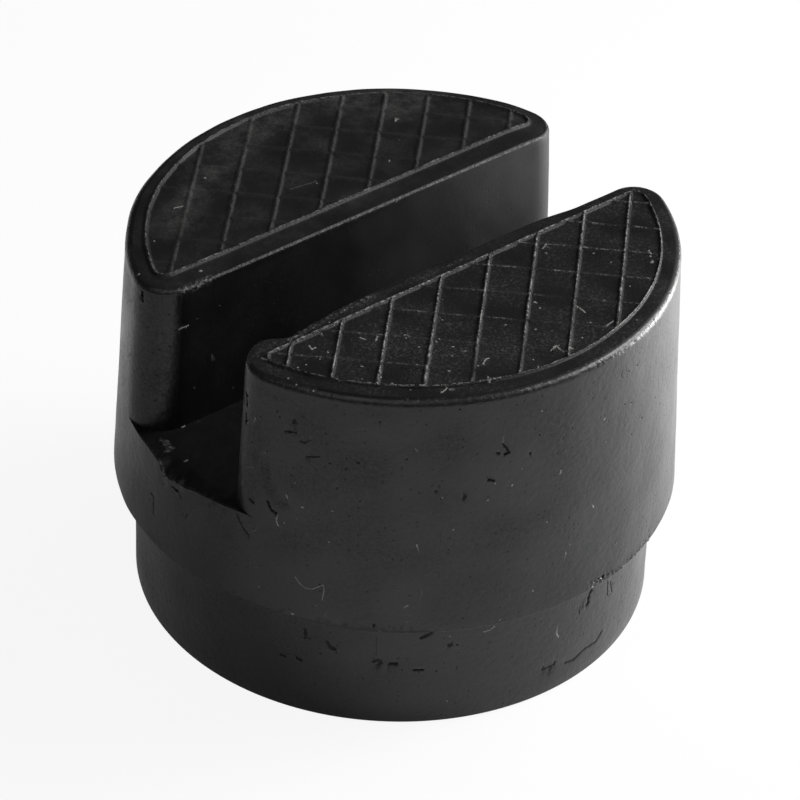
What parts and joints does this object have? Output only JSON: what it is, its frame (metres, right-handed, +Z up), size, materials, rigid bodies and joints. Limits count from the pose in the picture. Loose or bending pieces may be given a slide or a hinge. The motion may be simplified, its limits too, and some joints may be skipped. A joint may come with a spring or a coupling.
{
  "type": "rubber jack pad",
  "caption": "Round slotted rubber jack pad: a stepped block with a spigot below, a slot across the top for a sill seam, and a ribbed tread on both half-moon tops.",
  "frame": {"origin": "centre of the flat base of the spigot, at the level that the pad stands on", "axes": "+Z up through the tread, +X along the slot, +Y across it"},
  "size_m": [0.0658, 0.0658, 0.0468],
  "materials": {
    "moulded_rubber": "matt black moulded rubber with a slight sheen, a little dust and a few nicks"
  },
  "bodies": {
    "root": {"jack_pad": "moulded_rubber"}
  },
  "joints": []
}
